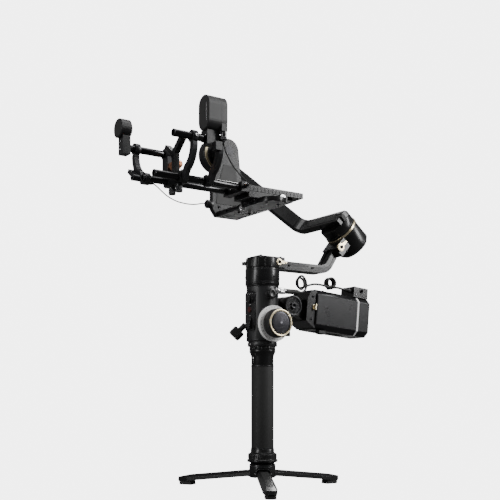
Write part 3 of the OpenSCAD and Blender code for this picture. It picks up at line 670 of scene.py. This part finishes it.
# ---------------------------------------------------------------- pan head and yaw arm
piece("pan_screws", several(*[screw((x, y, 395.7), Z, 2.1) for x in (-15.5, 15.5) for y in (-14, 29)],
                            screw((20.5, -8, 390), X, 1.7), screw((20.5, -8, 381.5), X, 1.7)), "dark_metal",
                            "pan")
piece("pan_cap",
      several(disc(12.5, 395.4, 396.6, spot(0, 4, 0), 0.5),
              ring(13.4, 14.2, 395.5, 396.1, spot(0, 4, 0), edge=0.2)),
      "dark_metal", "pan")
piece("pan_split", bar((20.4, -17, 385.2), (20.75, 11, 386.0), 0.1), "lock_black", "pan")
piece("lever_screws_pan", screw((24.6, 20, 386), X, 2.7), "dark_metal", "pan")
piece("lever_screws_roll", screw((29, 160, 425.5), X, 3.0), "dark_metal", "yaw")
piece("pan_lever_boss", several(ring(3.4, 5.2, 24.4, 25.3, axis_at((0, 20, 386), X), edge=0.25),
                                disc(1.9, 24.3, 25.1, axis_at((0, 35, 386), X), 0.4, 20)), "gold",
                                "pan_lever")
tail_y, tail_z = 160 + 16.2 * math.cos(math.radians(43)), 425.5 + 16.2 * math.sin(math.radians(43))
piece("roll_lever_boss", several(ring(4.0, 6.6, 28.9, 29.8, axis_at((0, 160, 425.5), X), edge=0.25),
                                 disc(2.0, 28.7, 29.5, axis_at((0, tail_y, tail_z), X), 0.4, 20)), "gold",
                                 "roll_lever")
piece("yaw_screws", several(*[screw((14, y, 383.2), X, 1.9) for y in (50, 104)],
                            *[screw((-14, y, 383.2), -X, 1.9) for y in (50, 104)]), "dark_metal", "yaw")
piece("yaw_cover",
      several(bar((-9.5, 44, 374.9), (9.5, 112, 375.9)), bar((-9.5, 52, 390.3), (9.5, 108, 391.0))),
      "lock_black", "yaw")

# ---------------------------------------------------------------- roll motor and arm
back = roll_frame @ axis_at((0, 0, 0), Y)
piece("roll_trim", ring(31.0, 33.2, 236.2, 240.4, back, edge=0.5), "gold", "yaw")
piece("roll_cap",
      several(disc(22, 284.2, 285.6, back, 0.5, 64), ring(23.5, 24.4, 284.2, 285.2, back, edge=0.25),
                          *[screw((18 * math.cos(math.radians(a)), 18 * math.sin(math.radians(a)), 285.5),
                                  Z, 1.6, back)
                            for a in range(0, 360, 60)]), "motor_grey", "yaw")
piece("roll_bands", several(ring(31.8, 32.35, 243.2, 244.2, back), ring(31.8, 32.35, 276.2, 277.4, back)),
      "dark_metal", "yaw")
piece("roll_collar", ring(31.8, 32.3, 231.5, 233, back), "dark_metal", "roll")
piece("roll_arm_screws", several(*[screw((x, 211, 14), Z, 2.0, roll_frame) for x in (-62, -26, 16)],
                                 *[screw((x, 211, -14), -Z, 2.0, roll_frame) for x in (-62, -26, 16)],
                                 screw((-104, 150, 14), Z, 2.0, roll_frame),
                                 screw((-142, 68, 14), Z, 2.0, roll_frame)),
      "dark_metal", "roll")
piece("roll_arm_cover", several(moved(bar((-70, 204.4, -9), (14, 205.2, 9)), roll_frame),
                                moved(bar((-66, 216.9, -8.5), (14, 217.6, 8.5)), roll_frame)), "lock_black",
                                "roll")
piece("roll_lock_ribs",
      several(*[moved(bar((27 + 2.2 * k, 216.9, -3.2), (28.2 + 2.2 * k, 217.7, 3.2)), roll_frame)
                                  for k in range(3)]), "lock_black", "roll_lock")
far_end = axis_at((0, 0, 615), -X)
piece("tilt_cap",
      several(disc(21, 175.6, 176.9, far_end, 0.5, 64), ring(22.4, 23.3, 175.6, 176.5, far_end, edge=0.25),
                          *[screw((17 * math.cos(math.radians(a)), 17 * math.sin(math.radians(a)), 176.8),
                                  Z, 1.6, far_end)
                            for a in range(30, 390, 60)]), "motor_grey", "roll")
piece("tilt_bands",
      several(ring(32.3, 32.85, 150.5, 151.6, far_end), ring(32.3, 32.85, 168.2, 169.4, far_end)),
      "dark_metal", "roll")

# ---------------------------------------------------------------- bracket and camera plate
ticks = []
for k in range(20):
    x = -78 + 5 * k
    tall = 1.9 if k % 4 == 0 else 1.1
    ticks.append(moved(bar((-0.18, 0, 0), (0.18, tall, 0.12), 0.03), axis_at((x, -25, 492.6), -Y)))
piece("bracket_scale", several(*[(v, f) for v, f in ticks]), "white", "tilt")
piece("bracket_screws", several(*[screw((x, -25, 490.3), -Y, 1.9) for x in (-98, 18)],
                                *[screw((x, y, 495), Z, 2.4) for x in (-98, -84) for y in (-15, 15)],
                                *[screw((x, y, 486), -Z, 2.4) for x in (-60, 30) for y in (-12, 12)]),
                                "dark_metal", "tilt")
piece("upright_screws",
      several(*[screw((-112, y, z), X, 2.2) for y, z in ((-22, 504), (24, 502), (-24, 544), (20, 544))],
                                disc(9, -112, -110.8,
                                     Matrix.Translation((0, 0, 615)) @ axis_at((0, 0, 0), X), 0.4)),
      "dark_metal", "tilt")
piece("upright_panel",
      moved(prism([(-28, 510), (28, 510), (24, 534), (12, 586), (-12, 586), (-26, 538)], 0, 0.9,
                                   Matrix.Identity(4), 0.4),
                             Matrix(((0, 0, 1, -112), (1, 0, 0, 0), (0, 1, 0, 0), (0, 0, 0, 1)))),
                             "lock_black", "tilt")
piece("port_rim", ring(3.2, 7.2, 45.8, 47.2, axis_at((-118, 0, 508), -Y), edge=0.4), "dark_metal", "tilt")
piece("bracket_knob",
      several(turned([(3.2, 0), (4.9, 0.6), (4.9, 5.5), (4.3, 6.3), (1.6, 6.3), (1.4, 5.6), (0.05, 5.6)],
                                     axis_at((-14, -35, 484.8), -Z), 24),
                              ring(4.6, 5.3, 1, 5.2, axis_at((-14, -35, 484.8), -Z), teeth=18, depth=0.4)),
                              "steel", "tilt")
piece("plate_knob", ring(4.9, 5.9, 26.3, 29.7, axis_at((0, 24, 501), X), teeth=18, depth=0.4), "steel",
      "tilt")
strips = [bar((x, -46, 514.9), (x + 8, 69, 515.5), 0.2) for x in (-23.5, 15.5)]
strips += [bar((x + 0.4, -44 + 4.1 * k, 515.4), (x + 7.6, -42 + 4.1 * k, 515.9), 0.15)
           for x in (-23.5, 15.5) for k in range(27)]
piece("plate_pads", several(*strips), "rubber", "plate")
scale = [moved(bar((-0.16, 0, 0), (0.16, 2.4 if k % 5 == 0 else 1.3, 0.12), 0.03),
               axis_at((25, -40 + 4 * k, 511.4), X, 0))
         for k in range(27)]
piece("plate_scale", several(*scale), "white", "plate")
piece("plate_screws_top", several(*[screw((0, y, 514.9), Z, 2.6) for y in (-40, 52, 64)],
                                  *[screw((x, -64, 510), -Y, 1.8) for x in (-6, 6)],
                                  *[screw((s * 30, -57, 514.3), X * s, 1.7) for s in (-1, 1)]), "steel",
                                  "plate")

# ---------------------------------------------------------------- rods, brackets and servos
rod_ends = []
for x, z, y0 in ((20, 510, -230), (-20, 510, -230), (60, 568, -216), (-60, 568, -234)):
    rod_ends.append(ring(4.3, 6.25, 0, 2.4, axis_at((x, y0 + 2.2, z), -Y), 40))
piece("rod_lips", several(*rod_ends), "dark_metal", "plate")
piece("clamp_screws", several(*[screw((x, -178, 520.3), Z, 2.5) for x in (-22, 22)],
                              *[screw((s * 31, -178, 510), X * s, 2.3) for s in (-1, 1)],
                              screw((70, -178.5, 568), X, 2.4), screw((70, -129.5, 568), X, 2.4),
                              screw((33, -129.5, 510), X, 2.4), screw((-33, -221.5, 510), -X, 2.4),
                              screw((-70, -221.5, 568), -X, 2.4), screw((-70, -160, 568), -X, 2.4),
                              screw((56, -158, 566), -Y, 2.0), screw((66, -158, 572), -Y, 1.6),
                              screw((-61, -250, 564), -Y, 2.0), screw((-61, -250, 578), -Y, 1.6)), "steel",
                              "plate")
knurls = [ring(5.3, 6.1, 0.8, 9.4, axis_at((x, -178, 487), Z), teeth=20, depth=0.45) for x in (-12, 12)]
piece("clamp_knurls", several(*knurls), "dark_metal", "plate")
tips = []
for x, z, tilt_deg, w in ((24, 575, 38, 8.4), (-27, 571, -54.5, 6.4)):
    m = spot(x, -178, z, (0, tilt_deg, 0))
    tips.append(moved(bar((-w / 2, -5.4, -1.2), (w / 2, 5.4, 1.8), 0.5), m))
piece("fork_pads", several(*tips), "rubber", "plate")
face = Matrix(((1, 0, 0, 63), (0, 0, -1, -160), (0, 1, 0, 609), (0, 0, 0, 1)))
stadium = rounded(30.5, 54.5, 15.1, 9)
piece("near_servo_face", prism(stadium, -1.2, 1.1, face, 0.5), "rubber", "plate")
# The thin bright steel strip on the near servo's front face is a painted highlight: it stands for the
# vertical highlight line on that face, not a slit.
piece("near_servo_highlight_strip", moved(bar((8.6, -14, 1.0), (9.7, 15, 1.4), 0.1), face), "steel", "plate")
piece("near_servo_rim", rim([face @ Vector((x * 1.045, y * 1.025, 0.2)) for x, y in stadium], 0.55),
      "dark_metal", "plate")
piece("near_servo_seam", rim([face @ Vector((x * 1.107, y * 1.059, -24)) for x, y in stadium], 0.35),
      "lock_black", "plate")
servo_face = Matrix(((1, 0, 0, -63), (0, 0, -1, -254), (0, 1, 0, 600), (0, 0, 0, 1)))
small = rounded(30, 28.5, 14, 9)
piece("far_servo_face", prism(small, -0.6, 0.9, servo_face, 0.5), "rubber", "plate")
piece("far_servo_rim", rim([servo_face @ Vector((x * 1.05, y * 1.05, 0.1)) for x, y in small], 0.5),
      "dark_metal", "plate")
piece("far_gear", several(ring(3, 12.6, 0, 3.4, axis_at((-63, -235.9, 600), Y), teeth=32, depth=1.2)),
      "lock_black", "plate")
nut = axis_at((75.5, -130, 566), Z)
piece("servo_plug_rings",
      several(ring(4.7, 5.4, 0.6, 4.4, nut, teeth=20, depth=0.35), ring(4.8, 5.25, 8.5, 9.6, nut),
                                  turned([(2.6, 0.4), (2.4, -0.8), (2.2, -2.2), (1.6, -4.2), (1.2, -4.6)],
                                         axis_at((75.5, -130, 566), Z))), "dark_metal", "plate")
piece("servo_socket_ring", several(ring(3.3, 4.2, 29.8, 31.4, axis_at((0, -57, 510), X)),
                                   turned([(2.4, 37.6), (2.2, 39.4), (1.5, 41.6), (1.2, 42)],
                                          axis_at((0, -57, 510), X))),
      "dark_metal", "plate")
knurled = axis_at((0, -160, 544), X)
piece("copper_knurl", several(ring(7.5, 8.5, -40.5, -25.5, knurled, teeth=30, depth=0.5),
                              disc(3.2, -16.6, -15.4, knurled, 0.4, 24)), "copper", "copper_knob")
piece("far_lever_knob", several(disc(5.9, 0, 1.6, axis_at((-40, -238, 514), -Y), 0.5),
                                screw((-40, -239.6, 514), -Y, 2.4)), "dark_metal", "plate")
piece("far_relief",
      turned([(2.6, -0.2), (2.6, 1.4), (2.2, 1.8), (2.2, 2.6), (2.5, 3), (2.0, 5.4), (1.3, 8)],
                           axis_at((-28, -213.4, 505), Y)), "rubber", "plate")

# ---------------------------------------------------------------- battery box
rosette = axis_at((0, 55, 310), X)
teeth = [moved(bar((8.5, -0.45, 19.7), (14.6, 0.45, 20.5), 0.2),
               rosette @ Matrix.Rotation(math.radians(15 * k), 4, "Z"))
         for k in range(24)]
piece("rosette_face", several(ring(15.6, 18.6, 19.6, 21.2, rosette, edge=0.5), *teeth,
                              turned([(6.4, 17.4), (6.4, 21.4), (5.6, 22.2), (3.2, 22.2, "hex"),
                                      (3.0, 20, "hex"), (0.05, 20)],
                                     rosette)), "motor_grey", "battery")
b = box_frame
lines = []
for z in (-27.2, 27.2):
    lines += [moved(bar((29.9, 50, z - 0.3), (30.25, 143, z + 0.3), 0.08), b),
              moved(bar((-30.25, 50, z - 0.3), (-29.9, 143, z + 0.3), 0.08), b)]
lines += [moved(bar((29.8, 46.6, -26), (30.35, 48.4, 26), 0.1), b),
          moved(bar((-30.35, 46.6, -26), (-29.8, 48.4, 26), 0.1), b)]
piece("box_lines", several(*lines), "dark_metal", "battery")
piece("box_screws", several(*[screw((s * 22, 174, z), Y, 2.1, b) for s in (-1, 1) for z in (-26, 26)],
                            *[screw((s * 17, 68 + 60 * k, 37), Z, 1.8, b) for s in (-1, 1) for k in (0,)],
                            screw((27, 38, -20), X, 1.9, b), screw((27, 38, 22), X, 1.9, b)), "dark_metal",
                            "battery")
piece("box_end", several(moved(prism(rounded(42, 50, 5), 0, 0.9, axis_at((0, 173.8, 0), Y), 0.4), b),
                         *[moved(bar((-15, 174.6, -16 + 4.6 * k), (15, 175.1, -14.4 + 4.6 * k), 0.15),
                                 b) for k in range(8)]),
      "lock_black", "battery")
piece("box_ribs",
      several(*[moved(bar((-18, 60 + 6 * k, -37.7), (8, 62.4 + 6 * k, -36.8), 0.2), b) for k in range(12)]),
      "lock_black", "battery")
brass = b @ axis_at((27.2, 42.6, 3), X)
piece("brass_knob", several(turned([(5.2, 0), (5.2, 0.8), (4.4, 1.2)], brass, 28),
                            moved(prism(rounded(3.0, 11.5, 1.3), 0.8, 5.2, Matrix.Identity(4), 0.5),
                                  brass)),
      "gold", "battery")
port = b @ axis_at((24, 156, 50), X)
piece("port_rim_box", ring(3.0, 4.3, -0.2, 0.8, port, edge=0.25), "dark_metal", "battery")
piece("port_screws", several(*[screw((x, y, 57), Z, 1.7, b) for x in (-9, 19) for y in (142, 167)],
                             screw((24, 143, 42), X, 1.4, b)), "steel", "battery")
tail = b @ axis_at((15, 0, 49), Y)
sleeve = [(4.0, 137.2), (4.5, 136.4), (4.5, 131), (4.1, 130.4)]
for k in range(3):
    sleeve += [(3.9 - 0.4 * k, 129.6 - 2.6 * k), (3.3 - 0.35 * k, 129.1 - 2.6 * k),
               (3.3 - 0.35 * k, 128.1 - 2.6 * k)]
sleeve += [(2.7, 121.6), (2.15, 120.4)]
piece("tail_relief", turned(sleeve, tail), "rubber", "battery")
strap = Matrix.Translation((18, 142, 349.5))
piece("coil_tie", moved(rim([Vector((x, 0, z)) for x, z in rounded(18.6, 6.2, 2.8)], 1.1), strap), "rubber",
      "battery")
piece("latch_ribs", several(*[moved(bar((14.6, 60 + 3.4 * k, -44.0), (25.4, 61.4 + 3.4 * k, -42.9), 0.2), b)
                              for k in range(4)]), "lock_black", "battery_latch")

# ---------------------------------------------------------------- light and floor
def lamp(name, place, aim, size, power):
    data = bpy.data.lights.new(name, "AREA")
    data.shape = "RECTANGLE"
    data.size, data.size_y = size
    data.energy = power
    obj = bpy.data.objects.new(name, data)
    obj.location = place
    obj.rotation_euler = (Vector(aim) - Vector(place)).to_track_quat("-Z", "Y").to_euler()
    scene.collection.objects.link(obj)


lamp("side", (1.5, 1.5, 1.5), (0, 0, 0.35), (0.5, 1.7), 62)
lamp("front", (0.1, -2.1, 0.9), (0, 0, 0.4), (0.5, 1.7), 24)
lamp("top", (0.3, 0, 2.3), (0, 0, 0.3), (1.2, 1.2), 22)
lamp("rim", (-1.6, 1.2, 1.2), (0, 0, 0.4), (0.5, 1.8), 26)

backdrop_glow = 5  # what the camera sees behind and below the object
world = bpy.data.worlds.new("studio")
scene.world = world
world.use_nodes = True
wt = world.node_tree
wt.nodes["Background"].inputs[0].default_value = (1, 1, 1, 1)
wt.nodes["Background"].inputs[1].default_value = 0.16
bright = wt.nodes.new("ShaderNodeBackground")
bright.inputs[0].default_value = (1, 1, 1, 1)
bright.inputs[1].default_value = backdrop_glow
seen = wt.nodes.new("ShaderNodeLightPath")
pick = wt.nodes.new("ShaderNodeMixShader")
wt.links.new(seen.outputs["Is Camera Ray"], pick.inputs[0])
wt.links.new(wt.nodes["Background"].outputs[0], pick.inputs[1])
wt.links.new(bright.outputs[0], pick.inputs[2])
wt.links.new(pick.outputs[0], wt.nodes["World Output"].inputs[0])

floor_z = cad_size[0][2]
floor_mesh = bpy.data.meshes.new("floor")
floor_mesh.from_pydata([(-8, -8, floor_z), (8, -8, floor_z), (8, 8, floor_z), (-8, 8, floor_z)], [],
                       [(0, 1, 2, 3)])
floor = bpy.data.objects.new("floor", floor_mesh)
scene.collection.objects.link(floor)
floor_look = shade("floor", (0.07, 0.07, 0.07), 0.7, 0, tint=0.01, grain=40, bump=0.01, blotch=2)
ft = floor_look.node_tree
glow = ft.nodes.new("ShaderNodeEmission")
glow.inputs["Strength"].default_value = backdrop_glow
floor_seen = ft.nodes.new("ShaderNodeLightPath")
floor_pick = ft.nodes.new("ShaderNodeMixShader")
floor_out = next(n for n in ft.nodes if n.type == "OUTPUT_MATERIAL")
matte = floor_out.inputs[0].links[0].from_socket
ft.links.new(floor_seen.outputs["Is Camera Ray"], floor_pick.inputs[0])
ft.links.new(matte, floor_pick.inputs[1])
ft.links.new(glow.outputs[0], floor_pick.inputs[2])
ft.links.new(floor_pick.outputs[0], floor_out.inputs[0])
floor_mesh.materials.append(floor_look)
